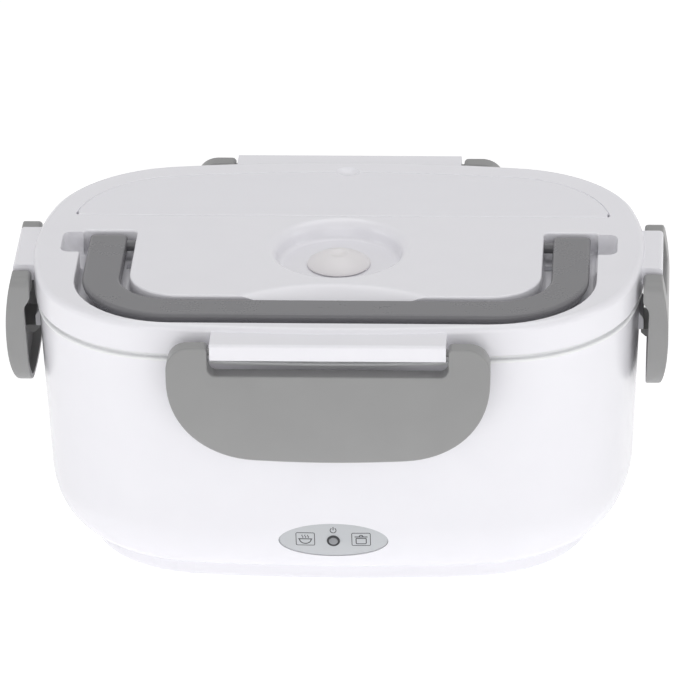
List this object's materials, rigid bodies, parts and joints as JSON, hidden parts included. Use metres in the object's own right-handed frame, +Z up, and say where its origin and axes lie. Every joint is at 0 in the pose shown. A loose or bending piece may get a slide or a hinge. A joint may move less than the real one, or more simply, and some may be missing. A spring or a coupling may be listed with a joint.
{
  "type": "electric lunch box",
  "caption": "Rounded heated lunch box with a flat lift-off lid, swing latches on its sides, a fold-flat carrying handle, a covered spoon well and a steam cap.",
  "frame": {"origin": "under the middle of the box, on the plane of its feet", "axes": "+X to the right along the length, +Y to the back where the power inlet is, +Z up"},
  "size_m": [0.2372, 0.1684, 0.107],
  "materials": {
    "white_shell": "gloss",
    "white_inner": "satin",
    "grey_latch": "satin",
    "grey_handle": "satin",
    "frosted_cover": "frosted",
    "clear_silicone": "satin",
    "container_plastic": "satin",
    "box_lid_plastic": "satin",
    "plate_aluminium": "brushed",
    "heater_aluminium": "matte",
    "sheet_steel": "satin",
    "spoon_steel": "polished",
    "black_plastic": "satin",
    "pin_metal": "bright",
    "phenolic": "matte",
    "wire_sleeve": "satin",
    "silver_trim": "satin",
    "lens_plastic": "gloss",
    "circuit_board": "satin",
    "foot_rubber": "matte",
    "seal_silicone": "satin"
  },
  "bodies": {
    "base": {"body_shell": "white_shell", "base_cover": "white_shell", "base_screws": "sheet_steel", "feet": "foot_rubber", "inner_tub": "white_inner", "plate_gasket": "seal_silicone", "heating_plate": "plate_aluminium", "ptc_heater": "heater_aluminium", "thermal_cutoff": "phenolic", "heater_clamp": "sheet_steel", "clamp_screws": "sheet_steel", "power_inlet": "black_plastic", "inlet_pins": "pin_metal", "wire_harness": "wire_sleeve", "control_plate": "silver_trim", "indicator_lens": "lens_plastic", "led_board": "circuit_board", "food_container": "container_plastic", "side_box": "container_plastic", "side_box_lid": "box_lid_plastic"},
    "lid": {"lid_shell": "white_shell", "lid_liner": "white_inner", "lid_seal": "seal_silicone", "spoon": "spoon_steel"},
    "steam_cap": {"vent_cap": "clear_silicone"},
    "well_cover": {"spoon_cover": "frosted_cover"},
    "carry_handle": {"handle": "grey_handle"},
    "front_latch": {"latch_front": "grey_latch"},
    "back_latch": {"latch_back": "grey_latch"},
    "left_latch": {"latch_left": "grey_latch"},
    "right_latch": {"latch_right": "grey_latch"}
  },
  "joints": [
    {"name": "lid_lift", "type": "slide", "parent": "base", "child": "lid", "axis": [0, 0, 1], "range_m": [0, 0.12]},
    {"name": "front_latch_swing", "type": "hinge", "parent": "lid", "child": "front_latch", "pos_m": [0, -0.079, 0.1015], "axis": [-1, 0, 0], "range_deg": [0, 110]},
    {"name": "back_latch_swing", "type": "hinge", "parent": "lid", "child": "back_latch", "pos_m": [0, 0.079, 0.1015], "axis": [1, 0, 0], "range_deg": [0, 110]},
    {"name": "left_latch_swing", "type": "hinge", "parent": "lid", "child": "left_latch", "pos_m": [-0.1134, 0, 0.1015], "axis": [0, 1, 0], "range_deg": [0, 110]},
    {"name": "right_latch_swing", "type": "hinge", "parent": "lid", "child": "right_latch", "pos_m": [0.1134, 0, 0.1015], "axis": [0, -1, 0], "range_deg": [0, 110]},
    {"name": "handle_fold", "type": "hinge", "parent": "lid", "child": "carry_handle", "pos_m": [0, 0.005, 0.1033], "axis": [-1, 0, 0], "range_deg": [0, 90]},
    {"name": "well_cover_swing", "type": "hinge", "parent": "lid", "child": "well_cover", "pos_m": [0, 0.02445, 0.10595], "axis": [1, 0, 0], "range_deg": [0, 75]},
    {"name": "steam_cap_pull", "type": "slide", "parent": "lid", "child": "steam_cap", "axis": [0, 0, 1], "range_m": [0, 0.012]}
  ]
}
